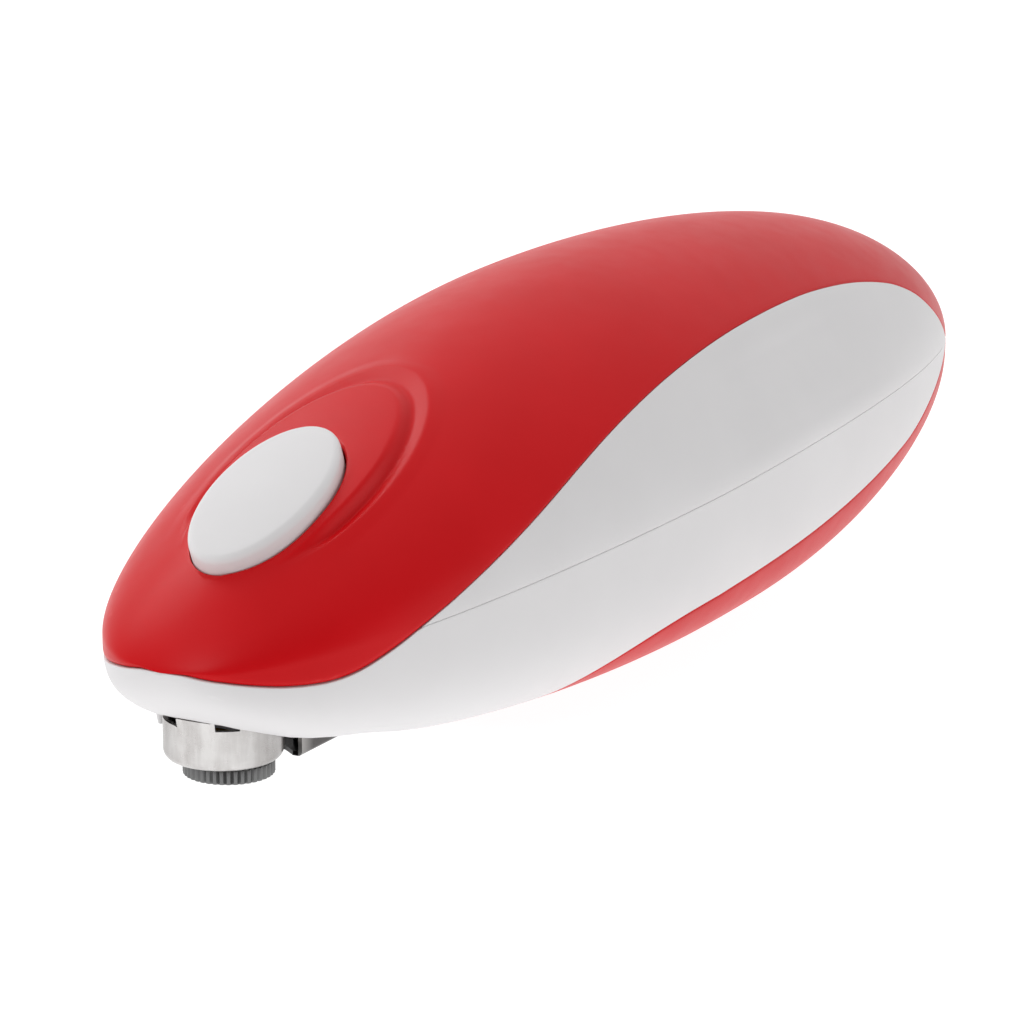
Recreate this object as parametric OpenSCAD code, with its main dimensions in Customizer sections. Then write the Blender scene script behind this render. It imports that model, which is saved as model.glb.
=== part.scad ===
/* [Housing] */
// Length of the closed housing from nose to tail
body_l = 210; // [204:1:218]
// Distance from the drive axis forward to the nose
nose_reach = 16.1; // [15.8:0.1:17]
// Half of the greatest width
half_w = 32.1; // [31.5:0.1:34]
// Greatest height of the crown above the parting line
crown_h = 26.8; // [26.5:0.1:28.5]
// Greatest depth of the belly below the parting line
belly_h = 27; // [26.6:0.1:28]
// Wall thickness of the shells
wall = 2.2; // [2:0.1:2.6]

/* [Button] */
// Half length of the oval push button
button_a = 14.8; // [14:0.1:16.5]
// Half width of the oval push button
button_b = 7.9; // [7:0.1:8.5]
// Travel of the button
button_travel = 1.2; // [0.8:0.1:1.4]
// Gap between the button and its opening
button_gap = 0.35; // [0.3:0.05:0.6]

/* [Drive] */
// Outer radius of the knurled drive wheel
wheel_r = 6; // [5.6:0.1:6.1]
// Height of the drive wheel
wheel_h = 1.9; // [1.6:0.1:2]
// Number of serrations round the drive wheel
wheel_teeth = 40; // [36:1:60]
// Outer radius of the steel drum above the wheel
drum_r = 7.9; // [7.4:0.1:8]
// Radius of the drive shaft
shaft_r = 2; // [1.8:0.1:2.2]
// Radius of the gear axles
axle_r = 1; // [0.8:0.1:1.2]
// Teeth on every gear pinion
pinion_teeth = 12; // [12:1:12]

/* [Cutter] */
// Radius of the cutting disc
disc_r = 5; // [4.6:0.1:5.2]
// Swing of the cutter arm from open to closed
arm_swing = 20; // [12:1:20]
// Sheet thickness of the cutter channel
sheet_t = 0.6; // [0.5:0.1:0.8]

/* [Power] */
// Diameter of one cell
cell_d = 14.2; // [13.8:0.1:14.5]
// Length of one cell without its tip
cell_l = 49.5; // [49:0.1:50]

/* [Hidden] */
$fn = 48;

red = [0.74, 0.04, 0.06];
white = [0.88, 0.88, 0.89];
steel = [0.72, 0.72, 0.73];
dark_steel = [0.35, 0.35, 0.37];
brass = [0.80, 0.66, 0.34];
black = [0.08, 0.08, 0.09];
acetal = [0.93, 0.92, 0.87];

fit = 0.03;            // radial clearance of a running fit
tail_x = body_l - nose_reach;
rings = 51;            // stations along the housing
split_ring = 18;       // station where the battery cover begins
panel_ring = 12;       // station where the wave edge rises through the parting line
tail_ring = 42;        // station where the white parts end and the red ones meet
oval_sides = 48;

// Height levels of the drive, above the wheel's bottom face
drum_z = 2.2;
shaft_low = 1.2;        // the shaft ends this far above the wheel's bottom face
roof_z = 9.1;          // roof of the mechanism bay
plate_z = 10;         // underside of the lower gear plate
plate_t = 1;
layer_d = 11.3;        // final gear and the toothed sector
layer_c = 13.3;
layer_b = 15.1;
layer_a = 16.9;
gear_t = 1.6;
final_t = 1.8;
upper_z = 18.7;
motor_z = upper_z + plate_t;

// Gear train, from the drive axis back to the motor: module and teeth of each wheel
final_m = 0.6;
final_teeth = 24;
three_m = 0.6;
three_teeth = 42;
fine_m = 0.5;
fine_teeth = 48;
three_x = final_m * (final_teeth + pinion_teeth) / 2;
two_x = three_x + three_m * (three_teeth + pinion_teeth) / 2;
one_x = two_x + fine_m * (fine_teeth + pinion_teeth) / 2;
motor_x = one_x + fine_m * (fine_teeth + pinion_teeth) / 2;
motor_r = 10.2;
motor_h = 18.5;
motor_shaft_r = 0.75;

// Cutter arm: pivot, closed direction and reach
pivot = [22, -3.6];
closed_a = 141.9;
arm_reach = 16.3;
arm_z = 3;
arm_t = 2;
disc_z = 0.6;
disc_t = 0.7;
pin_r = 1.5;
disc_at = pivot + arm_reach * [cos(closed_a - arm_swing), sin(closed_a - arm_swing)];
sector_m = 0.7;
sector_teeth = 24;
sector_a = -45;
clamp_at = pivot + sector_m * (sector_teeth + pinion_teeth) / 2 * [cos(sector_a), sin(sector_a)];
drum_at = [-0.45, 0.5];
boss_at = [-1.1, 9.7];
boss_low = 5.4;
channel_x0 = 6;
channel_x1 = 28;
channel_y0 = -7.5;
channel_y1 = -0.7;
channel_z0 = 1.5;
rivet_x = [12, 26];

// Cells
cell_x = 80.2;
cell_y = cell_d / 2 + 0.4;
cell_z = 11;
cell_end = cell_x + cell_l;
tip_l = 1.2;
tray_x0 = 76;
tray_x1 = 133.5;
tray_end_t = 2;
screw_at = [141, 8];

// Button: where it sits on the crown, and how far the crown leans there
button_x = 10.1;

// Outline of one long half: 0 at the tips and 1 at the fullest station `full`
function bulge(u, full, pf, qf, pr, qr) = u < full
    ? pow(max(0, 1 - pow((full - u) / full, pf)), 1 / qf)
    : pow(max(0, 1 - pow((u - full) / (1 - full), pr)), 1 / qr);
function plan_f(u) = bulge(u, 0.462, 1.76, 2.36, 1.77, 2.32);
function crown_f(u) = bulge(u, 0.506, 1.79, 1.40, 2.02, 2.12);
function belly_f(u) = bulge(u, 0.558, 2.24, 1.82, 2.03, 1.40);

// Height of the parting line, bowed upwards towards the middle
function part_z(u) = 17.7 + 2.6 * u + 17.6 * u * (1 - u);
function signed_pow(v, p) = sign(v) * pow(abs(v), p);

// A point of the housing: u runs from nose to tail, a round it from the near parting line
// over the crown (90) to the far one (180), or under the belly (-90); inset moves it inwards
function skin(u, a, inset) = let (
    n = sin(a) >= 0 ? upper_n : lower_n,
    rise = sin(a) >= 0 ? (crown_h - inset) * crown_f(u) : (belly_h - inset) * belly_f(u)
) [
    -nose_reach + inset + (body_l - 2 * inset) * u,
    -(half_w - inset) * plan_f(u) * signed_pow(cos(a), 2 / n),
    part_z(u) + rise * signed_pow(sin(a), 2 / n)
];

// Stations crowd together at both tips
function station(i) = (1 - cos(180 * i / rings)) / 2;

// The wave edge between red and white: its height at each station, as a share of the crown's rise
// above the parting line, or below it of the belly's depth
upper_n = 1.87;
lower_n = 3.14;
panel_u = station(panel_ring);
tail_u = station(tail_ring);
wave = [
    [0, 0], [0.003, -0.17], [0.01, -0.235], [0.03, -0.293], [0.047, -0.303], [0.064, -0.289],
    [0.081, -0.238], [0.101, -0.143], [panel_u, 0], [0.145, 0.07], [0.171, 0.166], [0.2, 0.251],
    [0.231, 0.328], [0.266, 0.404], [0.303, 0.473], [0.344, 0.533], [0.385, 0.577], [0.428, 0.611],
    [0.48, 0.638], [0.55, 0.661], [0.65, 0.673], [0.71, 0.664], [0.76, 0.643], [0.81, 0.6],
    [0.836, 0.556], [0.86, 0.489], [0.882, 0.38], [0.902, 0.24], [tail_u, 0]
];
function slope(k, p) = let (a = max(0, k - 1), b = min(len(p) - 1, k + 1))
    (p[b][1] - p[a][1]) / (p[b][0] - p[a][0]);
function segment(u, p, k = 0) = k >= len(p) - 2 || u < p[k + 1][0] ? k : segment(u, p, k + 1);
function smooth(u, p) = let (
    k = segment(u, p),
    h = p[k + 1][0] - p[k][0],
    t = (u - p[k][0]) / h
) p[k][1] * (1 + 2 * t) * pow(1 - t, 2) + h * slope(k, p) * t * pow(1 - t, 2)
    + p[k + 1][1] * t * t * (3 - 2 * t) + h * slope(k + 1, p) * t * t * (t - 1);
wave_edge = function (u) u >= tail_u ? 0 : let (share = smooth(u, wave))
    share >= 0 ? asin(pow(share, upper_n / 2)) : -asin(pow(-share, lower_n / 2));
base_edge = function (u) min(0, wave_edge(u));

// Half angle of the battery cover: a round front, then a slow flare, then out to the tail
cover_u = station(split_ring);
function cover_half(u) = u <= cover_u ? 0 : u >= tail_u ? 90
    : 65.3 * pow(1 - pow(1 - min(1, (u - cover_u) / 0.22), 2.6), 0.385)
    + 25.5 * max(0, u - 0.456) + 12.8 * pow(max(0, u - 0.79) / (tail_u - 0.79), 1.42);

// A closed shell over part of the housing, between two edges given as angles.
// Its first and last stations are single points.
module shell_patch(low, high, first, last, cols) {
    rows = last - first;
    count = 2 + (rows - 1) * (cols + 1);
    function at(layer, r, j) = layer * count
        + (r == 0 ? 0 : r == rows ? count - 1 : 1 + (r - 1) * (cols + 1) + j);
    function ring(r, inset) = let (u = station(first + r)) [
        for (j = [0 : r == 0 || r == rows ? 0 : cols])
            skin(u, low(u) + (high(u) - low(u)) * j / cols, inset)
    ];
    function side(layer, r, j) = let (
        a = at(layer, r, j), b = at(layer, r, j + 1),
        c = at(layer, r + 1, j + 1), d = at(layer, r + 1, j)
    ) layer == 0
        ? [if (r > 0) [a, d, b], if (r < rows - 1) [b, d, c]]
        : [if (r > 0) [a, b, d], if (r < rows - 1) [b, c, d]];
    points = [for (inset = [0, wall], r = [0 : rows], p = ring(r, inset)) p];
    skins = [
        for (layer = [0, 1], r = [0 : rows - 1], j = [0 : cols - 1], f = side(layer, r, j)) f
    ];
    rims = [
        for (r = [0 : rows - 1], j = [0, cols])
            let (a = at(0, r, j), b = at(0, r + 1, j), c = at(1, r + 1, j), d = at(1, r, j))
                each (j == 0 ? [[a, d, b], [b, d, c]] : [[a, b, d], [b, c, d]])
    ];
    polyhedron(points = points, faces = concat(skins, rims), convexity = 6);
}

function crown_z(x) = skin((x + nose_reach) / body_l, 90, 0)[2];
button_z = crown_z(button_x);
button_lean = atan((crown_z(button_x + 1) - crown_z(button_x - 1)) / 2);
stem_r = 2;
stem_end = -4.25;
cap_end = -3.2;
plunger_top = -4.3;
switch_top = -5.6;
board_top = -8.1;
board_t = 0.8;

module on_button() {
    translate([button_x, 0, button_z]) rotate([0, -button_lean, 0]) children();
}

module oval_prism(a, b, low, high) {
    translate([0, 0, low]) linear_extrude(high - low)
        polygon([for (k = [0 : oval_sides - 1])
            [a * cos(360 * k / oval_sides), b * sin(360 * k / oval_sides)]]);
}

// A rectangle from x0 to x1, reaching `half` each way in y, with round corners
module round_rect(x0, x1, half, r) {
    translate([x0 + r, -half]) square([x1 - x0 - 2 * r, 2 * half]);
    translate([x0, -half + r]) square([x1 - x0, 2 * half - 2 * r]);
    for (x = [x0 + r, x1 - r], y = [-half + r, half - r]) translate([x, y]) circle(r);
}

module tube(outer, inner, low, high) {
    translate([0, 0, low]) linear_extrude(high - low) difference() {
        circle(outer);
        circle(inner);
    }
}

module rod(r, low, high) {
    translate([0, 0, low]) cylinder(r = r, h = high - low);
}

// A helical coil of round wire along +Z
module coil(radius, wire, height, turns, steps = 14, sides = 6) {
    n = steps * turns;
    points = [
        for (i = [0 : n], k = [0 : sides - 1])
            let (a = 360 * i / steps, t = -360 * k / sides, r = radius + wire * cos(t))
                [r * cos(a), r * sin(a), wire + (height - 2 * wire) * i / n + wire * sin(t)]
    ];
    polyhedron(points = points, faces = ring_faces(n, sides), convexity = 8);
}

// Gear teeth: the involute angle at a given pressure angle, then one tooth's two flanks
pressure = 25;
backlash = 0.05;       // each flank stands back by this share of the module
function involute(a) = tan(a) * 180 / PI - a;
function half_tooth(r, m, z) = let (pitch_r = m * z / 2)
    90 / z - backlash * m / pitch_r * 180 / PI
    + involute(pressure) - involute(acos(min(1, pitch_r * cos(pressure) / r)));

function tooth(m, z, middle) = let (
    pitch_r = m * z / 2,
    root = pitch_r - 1.2 * m,
    tip = pitch_r + 0.9 * m,
    start = max(root + 0.02, pitch_r * cos(pressure)),
    radii = [for (k = [0 : 3]) start + (tip - start) * k / 3]
) concat(
    [let (a = middle - half_tooth(start, m, z)) root * [cos(a), sin(a)]],
    [for (k = [0 : 3]) let (a = middle - half_tooth(radii[k], m, z)) radii[k] * [cos(a), sin(a)]],
    [for (k = [3 : -1 : 0]) let (a = middle + half_tooth(radii[k], m, z)) radii[k] * [cos(a), sin(a)]],
    [let (a = middle + half_tooth(start, m, z)) root * [cos(a), sin(a)]]
);

module gear(m, z, low, high, start = 0) {
    translate([0, 0, low]) linear_extrude(high - low)
        polygon([for (k = [0 : z - 1]) each tooth(m, z, start + 360 * k / z)]);
}

// A wheel with a pinion under it, on one axle
module compound_gear(x, wheel_m, wheel_z, wheel_low, pinion_m, pinion_low, pinion_high) {
    translate([x, 0]) color(acetal) difference() {
        union() {
            gear(wheel_m, wheel_z, wheel_low, wheel_low + gear_t);
            gear(pinion_m, pinion_teeth, pinion_low, pinion_high, 180 / pinion_teeth);
            rod(axle_r + 1, pinion_low, wheel_low + gear_t);
        }
        rod(axle_r + fit, pinion_low - 1, wheel_low + gear_t + 1);
    }
}

module screw(head_r, head_h, shank_r, shank_l) {
    difference() {
        union() {
            rod(head_r, 0, head_h);
            rod(shank_r, 0, head_h + shank_l);
        }
        for (a = [0, 90]) rotate(a) translate([-head_r * 0.6, -0.25, -1])
            cube([head_r * 1.2, 0.5, 1 + head_h * 0.55]);
    }
}

// Housing

module top_cover() {
    color(red) difference() {
        shell_patch(wave_edge, function (u) 180 - wave_edge(u), 0, rings, 22);
        on_button() oval_prism(button_a + button_gap, button_b + button_gap, -12, 6);
    }
}

module side_panel() {
    color(white) shell_patch(base_edge, wave_edge, panel_ring, tail_ring, 8);
}

module side_panel_left() {
    side_panel();
}

module side_panel_right() {
    mirror([0, 1, 0]) side_panel();
}

module bay_outline(grow) {
    translate(drum_at) circle(drum_r + 0.7 + grow);
    round_rect(4 - grow, 33 + grow, 15.9 + grow, 8);
}

bay_wall = 1.6;
bay_front = -8.2;

module behind_front(x) {
    translate([x, -30, -20]) cube([80, 60, 60]);
}

// Skin between rings of points that all have the same number of sides
function ring_faces(last, sides) = concat(
    [[for (k = [0 : sides - 1]) k]],
    [[for (k = [sides - 1 : -1 : 0]) last * sides + k]],
    [for (i = [0 : last - 1], k = [0 : sides - 1])
        let (m = (k + 1) % sides, a = i * sides + k, b = i * sides + m)
            each [[a, a + sides, b], [b, a + sides, b + sides]]]
);

// The whole front of the housing under the parting line, as a solid
module front_belly() {
    first = 6;
    last = 22;
    sides = 24;
    polyhedron(points = [
        for (i = [first : last], k = [0 : sides - 1]) skin(station(i), -180 * k / (sides - 1), 0)
    ], faces = ring_faces(last - first, sides), convexity = 4);
}

module base_half() {
    shell_patch(function (u) -90 + cover_half(u), base_edge, 0, tail_ring, 11);
}

module base_shell() {
    color(white) difference() {
        union() {
            base_half();
            mirror([0, 1, 0]) base_half();
        }
        intersection() {
            translate([0, 0, -8]) linear_extrude(20) bay_outline(bay_wall + 0.05);
            behind_front(bay_front - 0.05);
        }
    }
}

module battery_cover() {
    color(red) shell_patch(
        function (u) -90 - cover_half(u), function (u) -90 + cover_half(u), split_ring, rings, 16
    );
}

// Roof and walls of the mechanism bay, with the hub that carries the bush
module drive_floor() {
    color(white) {
        difference() {
            intersection() {
                translate([0, 0, -6]) linear_extrude(plate_z + 6) bay_outline(bay_wall);
                behind_front(bay_front);
                front_belly();
            }
            difference() {
                translate([0, 0, -7]) linear_extrude(roof_z + 7) bay_outline(0);
                rod(shaft_r + 2.2, 6.2, plate_z);
            }
            rod(shaft_r + 1.2, -5, plate_z + 1);
            translate(pivot) rod(pin_r + 0.2, 0, plate_z + 1);
            for (y = [-13, 13]) translate([19, y]) rod(0.9, 0, plate_z + 1);
        }
        translate([boss_at[0], boss_at[1], boss_low])
            cylinder(r1 = 0.4, r2 = 1.1, h = roof_z - boss_low);
    }
}

// Button and switch

// The cap is part of a ring, gently curved along the housing and more strongly across it
module push_button() {
    ring_r = 120;
    across_r = 34;
    button_rise = 2.9;
    color(white) on_button() {
        intersection() {
            oval_prism(button_a, button_b, cap_end, 3);
            translate([0, 0, button_rise - ring_r - across_r]) rotate([90, 0, 0])
                rotate_extrude($fn = 96) translate([ring_r, 0]) circle(across_r);
        }
        rod(stem_r, stem_end, cap_end + 0.5);
    }
}

module button_spring() {
    color(steel) on_button() translate([0, 0, board_top])
        coil(4.1, 0.25, cap_end - board_top, 4);
}

module switch_body() {
    color(black) on_button() tube(3, 1.75, board_top, switch_top);
}

module switch_plunger() {
    color(acetal) on_button() rod(1.7, plunger_top - 2.2, plunger_top);
}

module switch_board() {
    color([0.10, 0.36, 0.20]) on_button() translate([-5, -6.5, board_top - board_t])
        cube([10, 13, board_t]);
}

module switch_bracket() {
    color(black) for (y = [-6.5, 5]) difference() {
        translate([9, y, motor_z]) cube([8, 1.5, 6]);
        on_button() translate([-20, -10, board_top - board_t]) cube([40, 20, 20]);
    }
}

// Motor and gear train

module motor_can() {
    color(steel) translate([motor_x, 0]) difference() {
        rod(motor_r, motor_z, motor_z + motor_h);
        rod(motor_r - 0.8, motor_z + 0.8, motor_z + motor_h + 1);
        rod(motor_shaft_r + fit, motor_z - 1, motor_z + 2);
    }
}

module motor_end_cap() {
    color(black) translate([motor_x, 0]) {
        rod(motor_r - 0.05, motor_z + motor_h, motor_z + motor_h + 1.4);
        rod(3, motor_z + motor_h + 1.4, motor_z + motor_h + 2.2);
    }
}

module motor_terminals() {
    color(brass) for (y = [-6.5, 6.1]) translate([motor_x - 1, y, motor_z + motor_h + 1.4])
        cube([2, 0.4, 1.6]);
}

module motor_pinion() {
    translate([motor_x, 0]) {
        color(brass) gear(fine_m, pinion_teeth, layer_a, layer_a + gear_t, 180 / pinion_teeth);
        color(steel) rod(motor_shaft_r, layer_a - 0.4, motor_z + motor_h - 2);
        color(dark_steel) rod(motor_r - 2.2, motor_z + 3, motor_z + motor_h - 4);
    }
}

module gear_one() {
    compound_gear(one_x, fine_m, fine_teeth, layer_a, fine_m, layer_b, layer_a);
}

module gear_two() {
    compound_gear(two_x, fine_m, fine_teeth, layer_b, three_m, layer_c, layer_b);
}

module gear_three() {
    compound_gear(three_x, three_m, three_teeth, layer_c, final_m, layer_d, layer_c);
}

module final_gear() {
    color(brass) difference() {
        gear(final_m, final_teeth, layer_d, layer_d + final_t);
        rod(shaft_r, layer_d - 1, layer_d + final_t + 1);
    }
}

module gear_axles() {
    color(steel) for (x = [one_x, two_x, three_x]) translate([x, 0])
        rod(axle_r, plate_z, upper_z + plate_t);
}

post_at = [[19, -13], [19, 13], [62, -13], [62, 13]];

module lower_plate_outline() {
    circle(7);
    round_rect(1.5, 70, 16.5, 9);
}

module gearbox_lower_plate() {
    color(steel) translate([0, 0, plate_z]) linear_extrude(plate_t) difference() {
        lower_plate_outline();
        circle(shaft_r + 1.2);
        for (x = [one_x, two_x, three_x]) translate([x, 0]) circle(axle_r);
        translate(pivot) circle(pin_r + fit);
        translate(clamp_at) circle(axle_r);
        for (p = post_at) translate(p) circle(0.8);
    }
}

module gearbox_upper_plate() {
    color(steel) translate([0, 0, upper_z]) linear_extrude(plate_t) difference() {
        round_rect(5, 70, 16, 7);
        for (x = [one_x, two_x, three_x]) translate([x, 0]) circle(axle_r);
        translate([motor_x, 0]) circle(motor_shaft_r + 1.5);
        for (p = post_at) translate(p) circle(0.8);
    }
}

module gearbox_posts() {
    color(brass) for (p = post_at) translate(p)
        tube(2, 0.8, plate_z + plate_t, upper_z);
}

// Two screws come up through the bay roof, and four go down from the upper plate
module gearbox_screws() {
    color(steel) {
        for (p = [post_at[0], post_at[1]]) translate([p[0], p[1], roof_z - 1.2])
            screw(1.7, 1.2, 0.8, 5);
        for (p = post_at) translate([p[0], p[1], motor_z + 1.2]) mirror([0, 0, 1])
            screw(1.7, 1.2, 0.8, 4);
    }
}

module drive_shaft() {
    color(steel) rod(shaft_r, shaft_low, layer_d + final_t);
}

module drive_bush() {
    color(brass) tube(shaft_r + 1.2, shaft_r + fit, 5.8, plate_z + plate_t);
}

// Knurled wheel: its rim is a ring of shallow serrations
module drive_wheel() {
    depth = 0.35;
    color(dark_steel) difference() {
        linear_extrude(wheel_h) polygon([
            for (k = [0 : wheel_teeth - 1], s = [0 : 3])
                let (a = 360 * (k + s / 4) / wheel_teeth, r = wheel_r - (s < 2 ? 0 : depth))
                    r * [cos(a), sin(a)]
        ]);
        rod(2.3, -1, 0.8);
        rod(shaft_r, shaft_low, wheel_h + 1);
        rod(0.9, 0, wheel_h);
    }
}

module wheel_screw() {
    color(steel) translate([0, 0, 0.2]) screw(2.1, 0.6, 0.9, shaft_low - 0.8);
}

// Deep-drawn cup with a rounded bottom edge, notched at its open edge
module drive_drum() {
    bend = 1.3;
    t = 0.7;
    color(steel) translate(drum_at) difference() {
        rotate_extrude($fn = 96) difference() {
            union() {
                translate([0, drum_z]) square([drum_r - bend, roof_z - drum_z]);
                translate([0, drum_z + bend]) square([drum_r, roof_z - drum_z - bend]);
                translate([drum_r - bend, drum_z + bend]) circle(bend);
            }
            translate([-1, drum_z + t]) square([drum_r - bend + 1, roof_z]);
            translate([-1, drum_z + bend]) square([drum_r - t + 1, roof_z]);
            translate([drum_r - bend, drum_z + bend]) circle(bend - t);
            translate([-2, 0]) square([2, 20]);
        }
        translate(-drum_at) rod(shaft_r + 0.6, 0, 9);
        for (notch = [[140, 2.7], [215, 1.6], [320, 2.7], [35, 1.6]])
            rotate(notch[0]) translate([drum_r - 3, -notch[1], roof_z - 1])
                cube([4, 2 * notch[1], 2]);
    }
}

// Cutter

// C-section of folded sheet, open towards +Y, screwed up against the bay roof
module cutter_channel() {
    width = channel_y1 - channel_y0;
    length = channel_x1 - channel_x0;
    color(steel) difference() {
        union() {
            translate([channel_x0, channel_y0, channel_z0]) cube([length, sheet_t, roof_z - channel_z0]);
            for (z = [channel_z0, roof_z - sheet_t]) translate([channel_x0, channel_y0, z])
                cube([length, width, sheet_t]);
        }
        translate(drum_at) rod(drum_r + 1.2, channel_z0 + sheet_t + 0.1, roof_z + 1);
        translate(drum_at) rod(drum_r + 0.6, 0, channel_z0 + sheet_t + 0.2);
        translate(pivot) rod(pin_r + fit, 0, roof_z + 1);
        for (x = rivet_x) translate([x, -3.8]) rod(0.8, roof_z - 1, roof_z + 1);
    }
}

module channel_rivets() {
    color(steel) for (x = rivet_x) translate([x, -3.8]) {
        rod(0.8, roof_z - sheet_t, roof_z);
        rod(1.3, roof_z - sheet_t - 0.5, roof_z - sheet_t);
    }
}

// Black stop block that the arm's root closes against
module cutter_block() {
    low = channel_z0 + sheet_t;
    color(black) difference() {
        translate([10, channel_y0 + sheet_t, low]) cube([6.4, 3.2, roof_z - sheet_t - 0.6 - low]);
        translate(drum_at) rod(drum_r + 1.2, 0, 10);
    }
}

module cutter_arm() {
    along = disc_at - pivot;
    a = atan2(along[1], along[0]);
    color(dark_steel) translate([pivot[0], pivot[1], arm_z]) difference() {
        union() {
            cylinder(r = 2.7, h = arm_t);
            rotate(a) translate([0, -2, 0]) cube([arm_reach, 4, arm_t]);
            translate(along) cylinder(r = 2.4, h = arm_t);
        }
        translate([0, 0, -1]) cylinder(r = pin_r, h = arm_t + 2);
        translate([along[0], along[1], -1]) cylinder(r = 0.9, h = arm_t + 2);
    }
}

module arm_pivot_pin() {
    color(steel) translate(pivot) rod(pin_r, channel_z0 - 0.3, layer_d + final_t);
}

// Part of a gear, kept as a fan of teeth on a hub
module arm_sector() {
    reach = sector_m * sector_teeth / 2 + sector_m;
    color(brass) translate(pivot) difference() {
        union() {
            intersection() {
                gear(sector_m, sector_teeth, layer_d, layer_d + final_t, sector_a);
                rotate(sector_a) translate([0, 0, layer_d - 1]) linear_extrude(final_t + 2)
                    polygon([[0, 0], [reach * 1.2, -reach * 0.62], [reach * 1.2, reach * 0.62]]);
            }
            rod(3, layer_d, layer_d + final_t);
        }
        rod(pin_r, layer_d - 1, layer_d + final_t + 1);
    }
}

module clamp_pinion() {
    color(brass) translate(clamp_at) difference() {
        gear(sector_m, pinion_teeth, layer_d, layer_d + final_t,
            sector_a + 180 + 180 / pinion_teeth);
        rod(axle_r + fit, layer_d - 1, layer_d + final_t + 1);
    }
}

module clamp_axle() {
    color(steel) translate(clamp_at) rod(axle_r, plate_z, layer_d + final_t + 0.4);
}

// Bevelled cutting disc
module cutter_disc() {
    color(steel) translate([disc_at[0], disc_at[1], disc_z]) difference() {
        rotate_extrude($fn = 96) polygon([
            [0, 0], [disc_r - 1.1, 0], [disc_r, disc_t / 2 - 0.05], [disc_r, disc_t / 2 + 0.05],
            [disc_r - 1.1, disc_t], [0, disc_t]
        ]);
        translate([0, 0, -1]) cylinder(r = 0.9 + fit, h = 4);
    }
}

module cutter_rivet() {
    color(dark_steel) translate(disc_at) {
        rod(0.9, disc_z, arm_z + arm_t);
        rod(1.7, disc_z - 0.5, disc_z - fit);
        rod(0.9, disc_z - 0.5, disc_z);
        rod(1.7, disc_z + disc_t + fit, arm_z);
        rod(1.7, arm_z + arm_t, arm_z + arm_t + 0.5);
    }
}

// Power

module each_cell() {
    for (side = [-1, 1]) translate([0, side * cell_y, cell_z]) rotate([0, 90, 0]) children();
}

module battery_cells() {
    each_cell() {
        color(dark_steel) rod(cell_d / 2, cell_x, cell_end);
        color(steel) rod(2.7, cell_end, cell_end + tip_l);
    }
}

module battery_tray() {
    low = 4.6;
    color(black) difference() {
        translate([tray_x0, -16, low]) cube([tray_x1 - tray_x0, 32, 15.4]);
        each_cell() rod(cell_d / 2 + 0.15, tray_x0 + tray_end_t, tray_x1 - tray_end_t);
        translate([tray_x0 + tray_end_t, -20, 0])
            cube([tray_x1 - tray_x0 - 2 * tray_end_t, 40, cell_z]);
        for (side = [-1, 1]) translate([tray_x0 - 1, side * 16 - 2.4, 0]) cube([80, 4.8, 7]);
    }
    color(black) difference() {
        translate([tray_x1, -12, 14]) cube([12, 24, 2.4]);
        for (side = [-1, 1]) translate([screw_at[0], side * screw_at[1]]) rod(1.3, 10, 20);
    }
}

module contact_springs() {
    color(steel) for (side = [-1, 1])
        translate([tray_x0 + tray_end_t, side * cell_y, cell_z]) rotate([0, 90, 0])
            coil(3, 0.3, cell_x - tray_x0 - tray_end_t, 3, 12);
}

module contact_plates() {
    x = cell_end + tip_l;
    color(brass) for (side = [-1, 1]) translate([x, side * cell_y - 4, cell_z - 5])
        cube([tray_x1 - tray_end_t - x, 8, 10]);
}

// A wire through hand-picked points: one ring of eight sides square to the route at each point
module wire(route, r) {
    sides = 8;
    last = len(route) - 1;
    function heading(i) = let (d = route[min(last, i + 1)] - route[max(0, i - 1)]) d / norm(d);
    points = [
        for (i = [0 : last])
            let (h = heading(i), across = cross(h, [0, 1, 0]) / norm(cross(h, [0, 1, 0])))
                for (k = [0 : sides - 1])
                    route[i] + r * (cos(360 * k / sides) * across
                        + sin(360 * k / sides) * cross(h, across))
    ];
    polyhedron(points = points, faces = ring_faces(last, sides), convexity = 4);
}

module lead_wires() {
    route = [[75, 9, 14], [73.5, 9.3, 18], [73, 10, 23], [71.5, 10.2, 29], [68.5, 9.8, 35],
        [65, 8.6, 39.4], [62, 7.8, 41.2], [59.5, 7.2, 41.4], [57.2, 7.15, 41.3]];
    color(red) wire([for (p = route) [p[0], -p[1], p[2]]], 0.6);
    color(black) wire(route, 0.6);
}

module cover_posts() {
    color(white) for (side = [-1, 1]) translate([screw_at[0], side * screw_at[1]])
        tube(3, 1.1, 16.4, 41.5);
}

module housing_screws() {
    color(steel) for (side = [-1, 1]) translate([screw_at[0], side * screw_at[1], 12.4])
        screw(2.3, 1.6, 1.1, 11);
}

top_cover();
side_panel_left();
side_panel_right();
base_shell();
battery_cover();
drive_floor();
push_button();
button_spring();
switch_body();
switch_plunger();
switch_board();
switch_bracket();
motor_can();
motor_end_cap();
motor_terminals();
motor_pinion();
gear_one();
gear_two();
gear_three();
final_gear();
gear_axles();
gearbox_lower_plate();
gearbox_upper_plate();
gearbox_posts();
gearbox_screws();
drive_shaft();
drive_bush();
drive_wheel();
wheel_screw();
drive_drum();
cutter_channel();
channel_rivets();
cutter_block();
cutter_arm();
arm_pivot_pin();
arm_sector();
clamp_pinion();
clamp_axle();
cutter_disc();
cutter_rivet();
battery_cells();
battery_tray();
contact_springs();
contact_plates();
lead_wires();
cover_posts();
housing_screws();
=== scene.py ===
import math

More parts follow.
